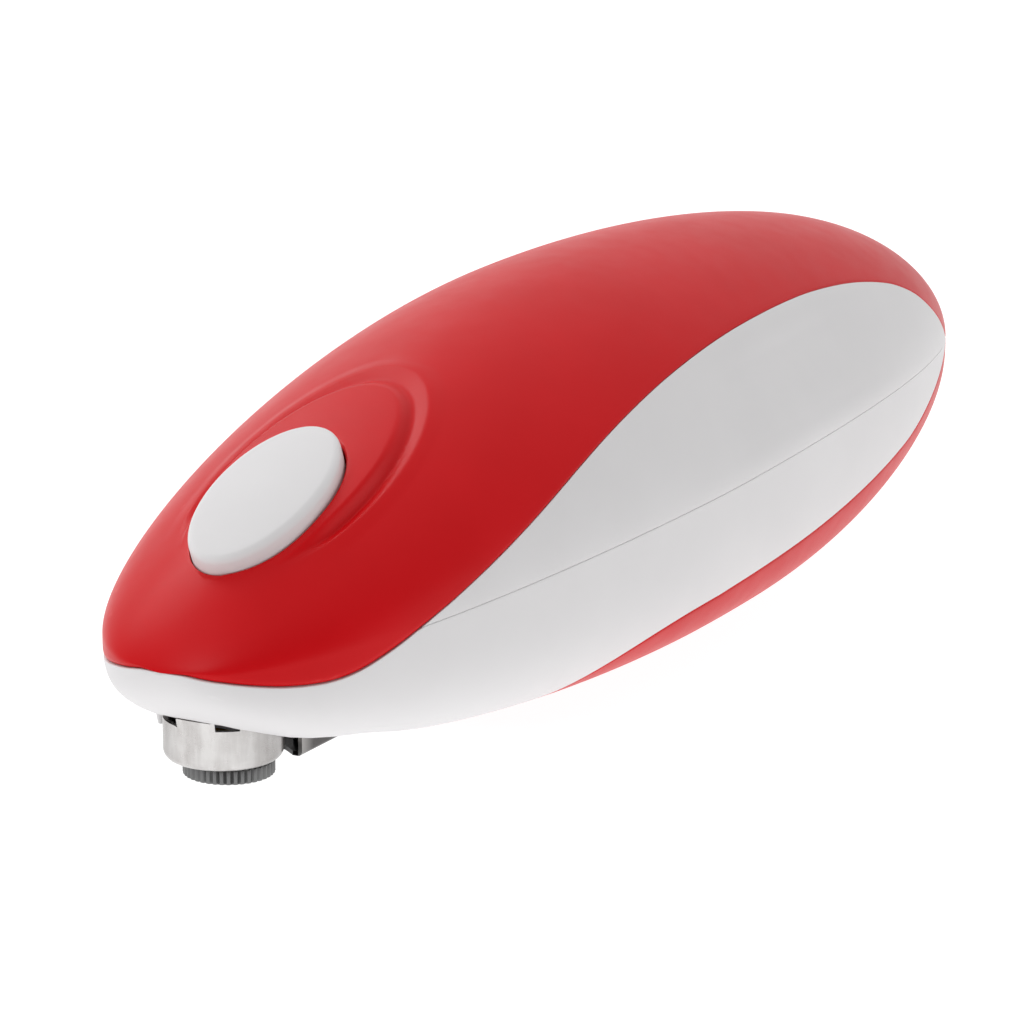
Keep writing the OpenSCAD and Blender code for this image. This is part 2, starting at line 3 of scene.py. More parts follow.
import bmesh
import bpy
import numpy as np
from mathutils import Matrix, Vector


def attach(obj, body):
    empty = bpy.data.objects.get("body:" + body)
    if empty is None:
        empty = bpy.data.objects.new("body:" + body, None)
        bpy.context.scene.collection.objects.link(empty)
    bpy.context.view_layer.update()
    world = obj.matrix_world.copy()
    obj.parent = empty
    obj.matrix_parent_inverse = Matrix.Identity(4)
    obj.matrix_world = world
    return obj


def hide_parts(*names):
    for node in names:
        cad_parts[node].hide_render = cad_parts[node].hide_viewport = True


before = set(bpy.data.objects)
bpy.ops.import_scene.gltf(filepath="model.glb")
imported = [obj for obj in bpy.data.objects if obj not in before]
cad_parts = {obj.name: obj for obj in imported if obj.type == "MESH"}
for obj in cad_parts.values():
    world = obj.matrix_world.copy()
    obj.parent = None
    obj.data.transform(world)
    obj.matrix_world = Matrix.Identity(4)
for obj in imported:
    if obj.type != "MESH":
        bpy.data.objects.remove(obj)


def writeSize():
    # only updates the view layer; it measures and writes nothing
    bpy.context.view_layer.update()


writeSize()

mm = 0.001
tau = 2 * math.pi

# the body's form, in millimetres

body = {
    "length": 210.0,
    "noseReach": 16.1,
    "halfWidth": 32.1,
    "crown": 26.8,
    "belly": 27.0,
    "wall": 2.2,
    "plan": (0.462, 1.76, 2.36, 1.77, 2.32),
    "crownLine": (0.506, 1.79, 1.40, 2.02, 2.12),
    "bellyLine": (0.558, 2.24, 1.82, 2.03, 1.40),
    "upperPower": 1.87,
    "lowerPower": 3.14,
    "coverStart": 0.2772,  # battery cover's round front, as a share of the length
    "panelStart": 0.1302,  # here the wave edge rises through the parting line
    "tailMeet": 0.9252,  # here the white parts end and the two red ones meet
    "parting": (17.7, 2.6, 17.6),  # the parting line's height, rise and bow
    "lidFront": (65.3, 0.22, 2.6, 0.385),  # the lid front's half angle, reach and two powers
    "lidFlare": (25.5, 0.456),  # its slow flare and where that starts
    "lidTail": (12.8, 0.79, 1.42),  # its last flare, where that starts and its power
    # height of the wave edge as a share of the crown's rise, or of the belly's depth below the line
    "waveKnots": (
        (0, 0), (0.003, -0.17), (0.01, -0.235), (0.03, -0.293), (0.047, -0.303), (0.064, -0.289),
        (0.081, -0.238), (0.101, -0.143), (0.1302, 0), (0.145, 0.07), (0.171, 0.166), (0.2, 0.251),
        (0.231, 0.328), (0.266, 0.404), (0.303, 0.473), (0.344, 0.533), (0.385, 0.577),
        (0.428, 0.611), (0.48, 0.638), (0.55, 0.661), (0.65, 0.673), (0.71, 0.664), (0.76, 0.643),
        (0.81, 0.6), (0.836, 0.556), (0.86, 0.489), (0.882, 0.38), (0.902, 0.24), (0.9252, 0),
    ),
}


def bulge(u, full, frontPower, frontRoot, rearPower, rearRoot):
    # one long half outline: 0 at both tips, 1 at the fullest station, a superellipse on each side
    front = np.clip(1 - np.abs((full - u) / full) ** frontPower, 0, None) ** (1 / frontRoot)
    rear = np.clip(1 - np.abs((u - full) / (1 - full)) ** rearPower, 0, None) ** (1 / rearRoot)
    return np.where(u < full, front, rear)


def partHeight(u):
    # the parting line: a straight rise with a parabola on top
    height, rise, bow = body["parting"]
    return height + rise * u + bow * u * (1 - u)


def skin(u, angle, inset=0.0):
    # superellipse sections: angle 0 is the near parting line, 90 the crown, -90 the belly
    u, angle, inset = np.broadcast_arrays(np.asarray(u, float), np.asarray(angle, float), inset)
    turn = np.radians(angle)
    sine, cosine = np.sin(turn), np.cos(turn)
    above = sine >= 0
    power = np.where(above, 2 / body["upperPower"], 2 / body["lowerPower"])
    rise = np.where(above, (body["crown"] - inset) * bulge(u, *body["crownLine"]),
                    (body["belly"] - inset) * bulge(u, *body["bellyLine"]))
    x = -body["noseReach"] + inset + (body["length"] - 2 * inset) * u
    y = -(body["halfWidth"] - inset) * bulge(u, *body["plan"]) * np.sign(cosine) * np.abs(cosine) ** power
    z = partHeight(u) + rise * np.sign(sine) * np.abs(sine) ** power
    return np.stack([x, y, z], -1)


def throughKnots(u, knots):
    # cubic Hermite curve whose slope at a knot is the slope between its neighbours
    k = np.array(knots, float)
    before = np.vstack([k[:1], k[:-1]])
    after = np.vstack([k[1:], k[-1:]])
    slope = (after[:, 1] - before[:, 1]) / (after[:, 0] - before[:, 0])
    i = np.clip(np.searchsorted(k[:, 0], u, side="right") - 1, 0, len(k) - 2)
    h = k[i + 1, 0] - k[i, 0]
    t = (u - k[i, 0]) / h
    return (k[i, 1] * (1 + 2 * t) * (1 - t) ** 2 + h * slope[i] * t * (1 - t) ** 2
            + k[i + 1, 1] * t * t * (3 - 2 * t) + h * slope[i + 1] * t * t * (t - 1))


def waveEdge(u):
    # the section's angle at the wave edge's height
    share = throughKnots(u, body["waveKnots"])
    above = np.degrees(np.arcsin(np.clip(share, 0, 1) ** (body["upperPower"] / 2)))
    below = np.degrees(np.arcsin(np.clip(-share, 0, 1) ** (body["lowerPower"] / 2)))
    return np.where(u >= body["tailMeet"], 0.0, above - below)


def baseEdge(u):
    # the base ends at the parting line, or at the wave edge where that is lower
    return np.minimum(0.0, waveEdge(u))


def coverHalf(u):
    # half angle of the battery cover: a round front, a slow flare, then out to the tail
    start, meet = body["coverStart"], body["tailMeet"]
    (wide, reach, power, root), (flare, flareFrom) = body["lidFront"], body["lidFlare"]
    last, lastFrom, lastPower = body["lidTail"]
    t = np.clip((u - start) / reach, 0, 1)
    half = (wide * np.clip(1 - (1 - t) ** power, 0, None) ** root + flare * np.clip(u - flareFrom, 0, None)
            + last * (np.clip(u - lastFrom, 0, None) / (meet - lastFrom)) ** lastPower)
    return np.where(u <= start, 0.0, np.where(u >= meet, 90.0, half))


def smoothStep(t):
    # 3 t^2 - 2 t^3 between 0 and 1
    t = np.clip(t, 0, 1)
    return t * t * (3 - 2 * t)


def cosineSteps(first, last, count):
    # steps that are close together at both ends
    return first + (last - first) * (1 - np.cos(np.pi * np.arange(count + 1) / count)) / 2


# meshes

def addMesh(name, points, faces, smoothAngle=35.0, weld=1e-4):
    # points in millimetres become a mesh with its doubles merged and its faces turned outwards
    mesh = bpy.data.meshes.new(name)
    mesh.from_pydata((np.asarray(points) * mm).tolist(), [], faces)
    work = bmesh.new()
    work.from_mesh(mesh)
    bmesh.ops.remove_doubles(work, verts=work.verts, dist=weld * mm)
    bmesh.ops.dissolve_degenerate(work, edges=work.edges, dist=1e-9)
    bmesh.ops.recalc_face_normals(work, faces=work.faces)
    if work.calc_volume(signed=True) < 0:
        bmesh.ops.reverse_faces(work, faces=work.faces)
    work.to_mesh(mesh)
    work.free()
    mesh.polygons.foreach_set("use_smooth", [True] * len(mesh.polygons))
    mesh.set_sharp_from_angle(angle=math.radians(smoothAngle))
    piece = bpy.data.objects.new(name, mesh)
    bpy.context.scene.collection.objects.link(piece)
    return piece


def gridFaces(rows, cols, offset=0, wrap=False):
    # quads between the points of a grid; wrap closes every row into a ring
    i, j = np.meshgrid(np.arange(rows - 1), np.arange(cols if wrap else cols - 1), indexing="ij")
    k = (j + 1) % cols
    quads = np.stack([i * cols + j, i * cols + k, (i + 1) * cols + k, (i + 1) * cols + j], -1)
    return (quads.reshape(-1, 4) + offset).tolist()


def stripFaces(first, second):
    # quads between two equally long rows of point numbers
    return np.stack([first[:-1], second[:-1], second[1:], first[1:]], -1).tolist()


def acrossAngles(u, low, high, distances):
    # for each station, the angles that lie at given distances (mm) along the section
    share = np.linspace(0, 1, 700)
    angles = low[:, None] + (high - low)[:, None] * share
    points = skin(u[:, None], angles)
    step = np.linalg.norm(np.diff(points, axis=1), axis=-1)
    reach = np.concatenate([np.zeros((len(u), 1)), np.cumsum(step, 1)], 1)
    wanted = distances(reach[:, -1])
    return np.array([np.interp(w, r, a) for w, r, a in zip(wanted, reach, angles)]), reach[:, -1]


edgeSteps = 6  # points across each rolled edge


def rolledEdges(roll, gap, cols):
    # distances across a strip: a quarter-round at each edge and even steps between them
    arc = np.linspace(0, np.pi / 2, edgeSteps)

    def distances(width):
        r = np.minimum(roll, width * 0.3)[:, None]
        g = np.minimum(gap, width * 0.1)[:, None]
        start = g + r * (1 - np.cos(arc))
        middle = np.linspace(0, 1, cols + 1)[1:-1]
        inner = (g + r) + (width[:, None] - 2 * (g + r)) * middle
        return np.concatenate([start, inner, width[:, None] - start[:, ::-1]], 1)

    def sink(width):
        r = np.minimum(roll, width * 0.3)[:, None]
        edge = r * (1 - np.sin(arc))
        return np.concatenate([edge, np.zeros((len(width), cols - 1)), edge[:, ::-1]], 1)

    return distances, sink


def shellPiece(name, u, low, high, cols, roll, gap, shape=None):
    # a closed shell over a strip of the body, its outer edges rolled inwards
    distances, sink = rolledEdges(roll, gap, cols)
    angles, width = acrossAngles(u, low, high, distances)
    depth = sink(width) + (0 if shape is None else shape(u[:, None], angles))
    outer = skin(u[:, None], angles, depth)
    inner = skin(u[:, None], angles, body["wall"])
    rows, count = angles.shape
    points = np.concatenate([outer.reshape(-1, 3), inner.reshape(-1, 3)])
    top = np.arange(rows * count).reshape(rows, count)
    under = top + rows * count
    faces = gridFaces(rows, count) + gridFaces(rows, count, rows * count)
    faces += stripFaces(top[:, 0], under[:, 0]) + stripFaces(top[:, -1], under[:, -1])
    faces += stripFaces(top[0], under[0]) + stripFaces(top[-1], under[-1])
    return addMesh(name, points, faces)


def register(piece, carrier, node):
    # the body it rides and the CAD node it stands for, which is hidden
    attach(piece, carrier)
    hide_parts(node)


# white side panels with a soft finger hollow

panel = {"rows": 240, "cols": 60, "roll": 0.10, "gap": 0.01,
         "hollowAt": (0.60, 0.55), "hollowReach": (0.20, 0.42), "hollowDepth": 1.5,
         "hollowFade": 0.25, "hollowTightness": 1.4}


def fingerHollow(u, angle):
    # a Gaussian dip between the parting line and the wave edge
    share = angle / np.clip(waveEdge(u), 1, None)
    x = (u - panel["hollowAt"][0]) / panel["hollowReach"][0]
    y = (share - panel["hollowAt"][1]) / panel["hollowReach"][1]
    fade = smoothStep(share / panel["hollowFade"]) * smoothStep((1 - share) / panel["hollowFade"])
    return panel["hollowDepth"] * np.exp(-(x * x + y * y) * panel["hollowTightness"]) * fade


def sidePanel(name, mirrored):
    # a shell from the parting line to the wave edge; the far one is its mirror image in y
    u = cosineSteps(body["panelStart"], body["tailMeet"], panel["rows"])
    piece = shellPiece(name, u, baseEdge(u), waveEdge(u), panel["cols"], panel["roll"], panel["gap"],
                       fingerHollow)
    if mirrored:
        flat = np.empty(len(piece.data.vertices) * 3)
        piece.data.vertices.foreach_get("co", flat)
        flat[1::3] *= -1
        piece.data.vertices.foreach_set("co", flat)
        piece.data.flip_normals()
    return piece


register(sidePanel("side_panel_near", False), "housing", "side_panel_left")
register(sidePanel("side_panel_far", True), "housing", "side_panel_right")
print("side panels done")

# red battery cover

lid = {"rows": 260, "cols": 90, "roll": 0.45, "gap": 0.05}


def batteryCover():
    # a strip either side of the belly line, as wide as coverHalf says
    u = cosineSteps(body["coverStart"], 1.0, lid["rows"])
    half = coverHalf(u)
    return shellPiece("battery_lid", u, -90 - half, -90 + half, lid["cols"], lid["roll"], lid["gap"])


register(batteryCover(), "battery_lid", "battery_cover")
print("battery cover done")

# white base with the drive bay cut into it

base = {"rows": 210, "cols": 60, "roll": 0.12, "gap": 0.01, "drumAt": (-0.45, 0.5),
        "bayRadius": 10.25, "bayBox": (2.35, 34.65, 17.55, 9.65), "bayFront": -8.25,
        "bayLow": -8.0, "bayHigh": 11.9}


def bayOutline():
    # two outlines in plan: a circle round the drum, and a box with round corners behind it
    x0, x1, half, r = base["bayBox"]
    cx, cy = base["drumAt"]
    angle = np.linspace(0, tau, 97)[:-1]
    circle = np.stack([cx + base["bayRadius"] * np.cos(angle), cy + base["bayRadius"] * np.sin(angle)], -1)
    inside = circle[circle[:, 0] > base["bayFront"]]
    start = np.argmax(np.linalg.norm(inside - np.roll(inside, 1, axis=0), axis=1))
    clipped = np.roll(inside, -start, axis=0)  # the circle, with a straight front
    corner = np.linspace(0, np.pi / 2, 13)
    box = [np.stack([mx + r * np.cos(corner + k * np.pi / 2), my + r * np.sin(corner + k * np.pi / 2)], -1)
           for k, (mx, my) in enumerate([(x1 - r, half - r), (x0 + r, half - r), (x0 + r, r - half),
                                         (x1 - r, r - half)])]
    return [clipped, np.concatenate(box)]


def prism(outline, low, high):
    # the outline at two heights, with a lid, a floor and one quad for each side
    n = len(outline)
    i = np.arange(n)
    points = np.concatenate([np.c_[outline, np.full(n, low)], np.c_[outline, np.full(n, high)]])
    faces = [list(range(n - 1, -1, -1)), list(range(n, 2 * n))]
    faces += np.stack([i, (i + 1) % n, n + (i + 1) % n, n + i], -1).tolist()
    return points, faces


def cutAway(piece, outlines, low, high):
    # booleans with plain prisms, applied at once
    for outline in outlines:
        points, faces = prism(outline, low, high)
        cutter = addMesh("cutter", points, faces)
        cut = piece.modifiers.new("cut", "BOOLEAN")
        cut.operation, cut.solver, cut.object = "DIFFERENCE", "MANIFOLD", cutter
        graph = bpy.context.evaluated_depsgraph_get()
        result = bpy.data.meshes.new_from_object(piece.evaluated_get(graph))
        piece.modifiers.clear()
        piece.data = result
        bpy.data.objects.remove(cutter)
    piece.data.set_sharp_from_angle(angle=math.radians(35))


def baseShell():
    # two mirrored strips from the lid's edge, or from the belly line ahead of it, up to the parting line
    u = np.concatenate([cosineSteps(0.0, body["coverStart"], base["rows"] // 3)[:-1],
                        cosineSteps(body["coverStart"], body["tailMeet"], base["rows"])])
    low = -90 + coverHalf(u)
    high = baseEdge(u)
    distances, sink = rolledEdges(base["roll"], base["gap"], base["cols"])
    angles, width = acrossAngles(u, low, high, distances)
    depth = sink(width)
    solid = u <= body["coverStart"]
    depth[solid, :edgeSteps] = 0.0  # ahead of the lid both halves run into each other
    near = skin(u[:, None], angles, depth)
    near[solid, 0, 1] = 0.0
    inside = skin(u[:, None], angles, body["wall"])
    inside[solid, 0, 1] = 0.0
    rows, count = angles.shape
    flip = np.array([1, -1, 1])
    total = rows * count
    points = np.concatenate([block.reshape(-1, 3) for block in (near, inside, near * flip, inside * flip)])
    top = np.arange(total).reshape(rows, count)
    faces = []
    for start in (0, 2 * total):
        outer, under = top + start, top + start + total
        faces += gridFaces(rows, count, start) + gridFaces(rows, count, start + total)
        faces += stripFaces(outer[:, -1], under[:, -1])
        behind = np.flatnonzero(~solid)
        rim = np.concatenate([[behind[0] - 1], behind])
        faces += stripFaces(outer[rim, 0], under[rim, 0])
    piece = addMesh("base_housing", points, faces)
    cutAway(piece, bayOutline(), base["bayLow"], base["bayHigh"])
    return piece


register(baseShell(), "housing", "base_shell")
print("base done")

# push button

button = {"x": 10.1, "halfLength": 15.1, "halfWidth": 8.05, "gap": 0.2, "proud": 2.75, "capEnd": -3.2,
          "stemEnd": -4.25, "stem": 2.0, "edgeRound": 1.0, "alongRadius": 154.0, "acrossRadius": 58.0,
          "footChamfer": 0.3, "sideSteps": (-2, -1.2, -0.6)}


def toShare(x):
    # the station of a place along the body
    return (x + body["noseReach"]) / body["length"]


def crownHeight(x):
    return skin(toShare(x), 90.0)[..., 2]


lean = math.atan(float(crownHeight(button["x"] + 1) - crownHeight(button["x"] - 1)) / 2)
buttonOrigin = np.array([button["x"], 0.0, float(crownHeight(button["x"]))])
alongAxis = np.array([math.cos(lean), 0, math.sin(lean)])
upAxis = np.array([-math.sin(lean), 0, math.cos(lean)])


def onButton(a, b, c):
    # a along the button, b across it, c up from the crown
    return (buttonOrigin + a[..., None] * alongAxis + c[..., None] * upAxis
            + b[..., None] * np.array([0.0, 1.0, 0.0]))


def pushButton():
    # an oval profile from the stem's foot round the cap's edge to its crown
    r = button["edgeRound"]
    arc = np.linspace(0, np.pi / 2, 9)
    share = np.linspace(1, 0, 15)
    a, b = button["halfLength"], button["halfWidth"]
    stem, cut = button["stem"], button["footChamfer"]
    inX, inY = (np.concatenate([[0, stem, stem, half - cut, half], [half] * 3, half - r + r * np.cos(arc),
                                (half - r) * share[1:]]) for half in (a, b))
    end, rim = button["capEnd"], button["proud"]
    low = np.array([button["stemEnd"], button["stemEnd"], end, end, end + cut, *button["sideSteps"]])
    turn = np.linspace(0, tau, 145)[:-1]
    cosine, sine = np.cos(turn), np.sin(turn)
    x, y = inX[:, None] * cosine, inY[:, None] * sine
    dome = rim - x * x / (2 * button["alongRadius"]) - y * y / (2 * button["acrossRadius"])
    drop = np.r_[np.zeros(len(low)), r * (1 - np.sin(arc)), np.zeros(len(share) - 1)]
    height = np.where(np.arange(len(inX))[:, None] < len(low),
                      np.r_[low, np.zeros(len(inX) - len(low))][:, None], dome - drop[:, None])
    points = onButton(x, y, height)
    rows, cols = x.shape
    return addMesh("button_cap", points.reshape(-1, 3), gridFaces(rows, cols, wrap=True))


register(pushButton(), "button", "push_button")
print("button done")

# red top cover: button opening, raised island and crescent groove

cover = {"cols": 84, "wall": 2.2, "lift": 0.45, "islandRadius": 60.0, "grooveDepth": 0.45,
         "ridgeLift": 0.28, "ridgeFall": 0.16, "lipRound": 0.3, "mound": 0.7,
         "riseFrom": -1.0, "riseOver": 12.0, "grooveFrom": -1.0, "grooveOver": 12.0,
         "ovalFront": -6.0, "ridge": (25.0, 12.5), "valley": (23.6, 11.2), "plateau": (21.9, 10.0),
         "frontRoll": 1.1, "sideRoll": 0.45, "rollFrom": 0.09, "rollOver": 0.08, "edgeGap": 0.05,
         "slitSteps": 72, "frontRows": 30, "closeStep": 0.35, "closeEnd": 46, "tailRows": 90,
         "stretch": 0.95, "moundFrom": 0.75, "moundOver": 0.65, "rollDepth": 0.6, "warpFrom": 20,
         "reliefFrom": 15, "lipWall": 1.2}


def ovalMeasure(x, y, size):
    # 1 on an oval that starts at the common front point, less inside and more outside
    along, across = size
    return np.hypot((x - cover["ovalFront"] - along) / along, y / across)


def coverRelief(x, y):
    # a flatter island, a wall down to the valley and a soft slope up to the ridge outside it;
    # ahead of the button all of it melts into a low mound
    ridge, valley, plateau = (ovalMeasure(x, y, cover[k]) for k in ("ridge", "valley", "plateau"))
    outer = np.clip((1 - ridge) / np.clip(valley - ridge, 1e-6, None), 0, 1)
    inner = np.clip((1 - valley) / np.clip(plateau - valley, 1e-6, None), 0, 1)
    flat = topHeight(x, 0 * y) + cover["lift"] - y * y / (2 * cover["islandRadius"]) - topHeight(x, y)
    depth = cover["grooveDepth"] * smoothStep((x - cover["grooveFrom"]) / cover["grooveOver"])
    wall = inner * inner * (3 - 2 * inner)
    beyond = smoothStep((ridge - 1) / cover["ridgeFall"])
    bank = cover["ridgeLift"] * smoothStep((x - cover["grooveFrom"]) / cover["grooveOver"])
    slope = np.where(ridge < 1, bank - (depth + bank) * outer, bank * (1 - beyond))
    crescent = np.where(valley < 1, flat * wall - depth * (1 - wall), slope)
    mound = cover["mound"] * (1 - smoothStep((valley - cover["moundFrom"]) / cover["moundOver"]))
    share = smoothStep((x - cover["riseFrom"]) / cover["riseOver"])
    return crescent * share + mound * (1 - share)


def topHeight(x, y):
    # the plain body's height above a point in plan
    u = toShare(x)
    half = body["halfWidth"] * bulge(u, *body["plan"])
    share = np.clip(np.abs(y) / np.clip(half, 1e-6, None), 0, 1) ** body["upperPower"]
    crown = body["crown"] * bulge(u, *body["crownLine"])
    return partHeight(u) + crown * (1 - share) ** (1 / body["upperPower"])


def topCover():
    # a strip from the wave edge to the crown line, mirrored; a slit in the crown line is opened into
    # the button's oval by moving each point along confocal ellipses and hyperbolas
    a, b = button["halfLength"] + button["gap"], button["halfWidth"] + button["gap"]
    focus = math.sqrt(a * a - b * b)
    opening = math.atanh(b / a)  # elliptic coordinate of the opening's edge
    reach = cover["stretch"]  # elliptic coordinate where the grid is at rest again

    # stations: close together along the slit that opens into the oval, and round the groove
    xs = np.linspace(-8, 30, 2000)
    along = (xs - buttonOrigin[0]) * alongAxis[0] + (crownHeight(xs) - buttonOrigin[2]) * alongAxis[2]
    slit = np.interp(-focus * np.cos(np.linspace(0, np.pi, cover["slitSteps"] + 1)), along, xs)
    first, close, end = cover["frontRows"], cover["closeStep"], cover["closeEnd"]
    u = np.concatenate([
        cosineSteps(0, 2 * toShare(slit[0]), 2 * first)[:first], toShare(slit),
        toShare(np.arange(slit[-1] + close, end, close)),
        toShare(end) + (1 - toShare(end)) * np.sin(np.linspace(0, np.pi / 2, cover["tailRows"] + 1)),
    ])
    low = waveEdge(u)
    arc = np.linspace(0, np.pi / 2, 8)

    forward = 1 - smoothStep((u - cover["rollFrom"]) / cover["rollOver"])
    roll = cover["sideRoll"] + (cover["frontRoll"] - cover["sideRoll"]) * forward

    def distances(total):
        r = np.minimum(roll, total * 0.3)[:, None]
        g = np.minimum(cover["edgeGap"], total * 0.1)[:, None]
        start = g + r * (1 - np.cos(arc))
        share = np.linspace(0, 1, cover["cols"] + 1)[1:]
        return np.concatenate([start, g + r + (total[:, None] - g - r) * share], 1)

    angles, total = acrossAngles(u, low, np.full_like(u, 90.0), distances)
    r = np.minimum(roll, total * 0.3)[:, None]
    sink = np.concatenate([r * (1 - np.sin(arc)) * cover["rollDepth"], np.zeros((len(u), cover["cols"]))], 1)
    points = skin(u[:, None], angles, sink)

    # elliptic coordinates round the button; inside `reach` they open the slit into the oval
    x, y = points[..., 0], points[..., 1]
    ahead = (x - buttonOrigin[0]) * alongAxis[0] + (points[..., 2] - buttonOrigin[2]) * alongAxis[2]
    z = (ahead + 1j * np.abs(y)) / focus
    onSlit = np.zeros(x.shape, bool)
    onSlit[first:first + len(slit), -1] = True
    w = np.arccosh(z)
    mu, nu = np.abs(w.real), np.abs(w.imag)
    mu = np.where(onSlit, 0.0, mu)
    opened = np.where(mu < reach, opening + mu * (1 - opening / reach), mu)
    warp = (mu < reach) & (angles > cover["warpFrom"])
    newAhead = focus * np.cosh(opened) * np.cos(nu)
    newY = -focus * np.sinh(opened) * np.sin(nu)
    newY[:, -1] = np.where(onSlit[:, -1], newY[:, -1], 0.0)
    newY[[first, first + len(slit) - 1], -1] = 0.0
    newX = x.copy()
    for _ in range(12):
        miss = newAhead - (newX - buttonOrigin[0]) * alongAxis[0] \
            - (topHeight(newX, newY) - buttonOrigin[2]) * alongAxis[2]
        newX = np.where(warp, newX + miss * alongAxis[0] * 0.9, newX)
    px, py = np.where(warp, newX, x), np.where(warp, newY, y)
    pz = np.where(warp, topHeight(px, py), points[..., 2])
    relief = np.where(angles > cover["reliefFrom"], coverRelief(px, py), 0.0)
    scale = focus * np.sqrt(math.sinh(opening) ** 2 + np.sin(nu) ** 2)
    lipReach = np.where(warp, (opened - opening) * scale, np.inf)  # distance from the opening's edge
    lip = cover["lipRound"]
    d = np.clip(lip - lipReach, 0, lip)
    relief = relief - (lip - np.sqrt(lip * lip - d * d))
    outer = np.stack([px, py, pz + relief], -1)
    share = np.where(warp, 1 - mu / reach, 0.0)[..., None]
    innerWarped = outer - upAxis * (cover["wall"] + cover["lipWall"])
    innerU = toShare(px)
    cosine = np.clip(np.abs(py) / np.clip(body["halfWidth"] * bulge(innerU, *body["plan"]), 1e-6, None), 0, 1)
    innerAngle = np.where(warp, np.degrees(np.arccos(cosine ** (body["upperPower"] / 2))), angles)
    inner = skin(innerU, innerAngle, cover["wall"])
    inner[:, -1, 1] = np.where(onSlit[:, -1], inner[:, -1, 1], 0.0)
    blend = smoothStep(share * 1.2)
    inner = inner * (1 - blend) + innerWarped * blend

    rows, count = x.shape
    flip = np.array([1, -1, 1])
    size = rows * count
    blocks = (outer, inner, outer * flip, inner * flip)
    allPoints = np.concatenate([block.reshape(-1, 3) for block in blocks])
    number = np.arange(size).reshape(rows, count)
    faces = []
    hole = slice(first, first + len(slit))
    for start in (0, 2 * size):
        top, under = number + start, number + start + size
        faces += gridFaces(rows, count, start) + gridFaces(rows, count, start + size)
        faces += stripFaces(top[:, 0], under[:, 0])
        faces += stripFaces(top[hole, -1], under[hole, -1])
    return addMesh("top_housing", allPoints, faces, smoothAngle=40)


register(topCover(), "housing", "top_cover")
print("top cover done")

# drum, knurled wheel and cutter channel

drum = {"at": (-0.45, 0.5), "radius": 7.9, "low": 2.2, "top": 9.1, "bend": 1.4, "sheet": 0.7, "hole": 3.4,
        "notches": ((147, 18.0), (216.5, 12.0), (327, 18.0), (36.5, 12.0)), "notchHeight": 7.88,
        "arches": (182.0, 2.0), "archHalf": 17.4, "archLow": 7.2, "archRise": 1.12, "archFade": 0.35,
        "flare": 0.30, "cols": 540}


def drumCup():
    # a turned cup: flat bottom, quarter-round bend, straight wall whose rim drops at the notches;
    # above each arch line the wall leans outwards
    turn = np.linspace(0, 360, drum["cols"], endpoint=False)
    away = lambda centre: np.abs((turn - centre + 180) % 360 - 180)
    rim = np.full(turn.shape, drum["top"])
    for centre, half in drum["notches"]:
        rim = np.where(away(centre) < half, drum["notchHeight"], rim)
    line = np.full(turn.shape, drum["archLow"])
    share = np.zeros(turn.shape)
    for centre in drum["arches"]:
        near = away(centre) / drum["archHalf"]
        arch = drum["archLow"] + drum["archRise"] * np.sqrt(1 - np.clip(near, 0, 1) ** 2)
        line = np.where(near < 1, arch, line)
        share = np.maximum(share, 1 - smoothStep((near - 1) / drum["archFade"]))
    r, low, bend = drum["radius"], drum["low"], drum["bend"]
    arc = np.linspace(0, np.pi / 2, 12)
    rise = np.linspace(0, 1, 40)[1:]

    def surface(inset):
        start = low + bend
        radii = np.concatenate([[drum["hole"], r - bend], r - bend + (bend - inset) * np.sin(arc)[1:]])
        heights = np.concatenate([[low + inset] * 2, start - (bend - inset) * np.cos(arc)[1:]])
        wall = start + (rim - start) * rise[:, None]
        lean = np.clip(wall - line, 0, None) * drum["flare"] * share
        radii = np.concatenate([np.repeat(radii[:, None], len(turn), 1), r - inset + lean])
        heights = np.concatenate([np.repeat(heights[:, None], len(turn), 1), wall])
        angle = np.radians(turn)
        x, y = drum["at"]
        return np.stack([x + radii * np.cos(angle), y + radii * np.sin(angle), heights], -1)

    outer, inner = surface(0.0), surface(drum["sheet"])
    rows, cols = outer.shape[:2]
    points = np.concatenate([outer, inner[::-1], outer[:1]]).reshape(-1, 3)
    return addMesh("steel_drum", points, gridFaces(2 * rows + 1, cols, wrap=True), smoothAngle=30)


wheel = {"radius": 6.05, "height": 1.9, "serrations": 40, "depth": 0.34, "chamfer": 0.18, "recess": 2.3,
         "recessTop": 0.8, "bore": 2.0, "boreLow": 1.2, "screwHole": 0.9, "perTooth": 12,
         "sharpness": 2.2}


def knurledWheel():
    # a ring profile turned once round; the rim's radius dips at each groove by a raised cosine
    cols = wheel["serrations"] * wheel["perTooth"]
    turn = np.linspace(0, tau, cols, endpoint=False)
    groove = (0.5 + 0.5 * np.cos(turn * wheel["serrations"])) ** wheel["sharpness"]
    c, h = wheel["chamfer"], wheel["height"]
    bore, boreLow, hole, top = (wheel[k] for k in ("bore", "boreLow", "screwHole", "recessTop"))
    inside = [(bore, boreLow), (hole, boreLow), (hole, top), (wheel["recess"], top), (wheel["recess"], 0)]
    rim = [(-2 * c, 0, 0.3), (-c, 0, 0.6), (-0.3 * c, 0.3 * c, 1), (0, c, 1), (0, h / 2, 1), (0, h - c, 1),
           (-0.3 * c, h - 0.3 * c, 1), (-c, h, 0.6), (-2 * c, h, 0.3)]
    ring = lambda r, z: np.stack([r * np.cos(turn), r * np.sin(turn), np.full(cols, z)], -1)
    rows = [ring(r, z) for r, z in inside]
    rows += [ring(wheel["radius"] + step - wheel["depth"] * groove * share, z) for step, z, share in rim]
    rows += [ring(bore, h), rows[0]]
    return addMesh("knurled_wheel", np.array(rows).reshape(-1, 3), gridFaces(len(rows), cols, wrap=True),
                   smoothAngle=42)


